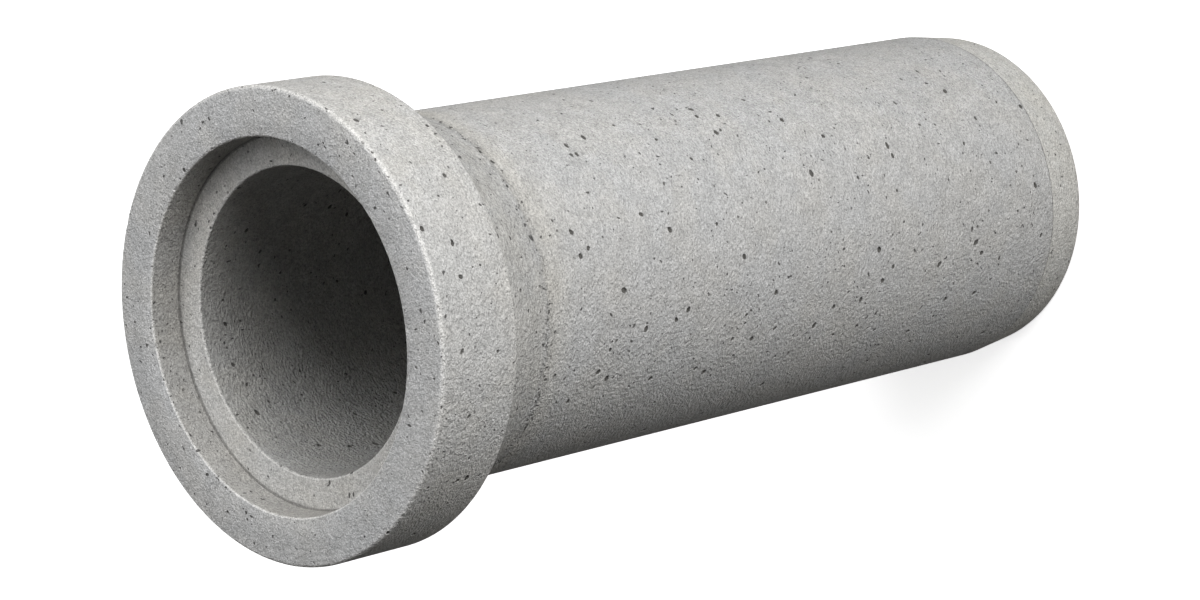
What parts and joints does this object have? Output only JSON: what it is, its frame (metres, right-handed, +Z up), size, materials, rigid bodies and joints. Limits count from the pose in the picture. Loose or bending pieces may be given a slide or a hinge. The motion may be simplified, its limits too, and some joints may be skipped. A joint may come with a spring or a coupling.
{
  "type": "concrete sewer pipe",
  "caption": "Straight concrete sewer pipe with a plain bore, a bell with a stepped socket at one end and a tapered spigot at the other.",
  "frame": {"origin": "on the pipe's axis, in the plane of the spigot's end face, which it stands on", "axes": "+Z runs up the pipe's axis from the spigot to the bell"},
  "size_m": [0.4599, 0.46, 1.035],
  "materials": {
    "concrete": "matt cast concrete with a fine sandy grain and small air holes"
  },
  "bodies": {
    "root": {"pipe": "concrete"}
  },
  "joints": []
}
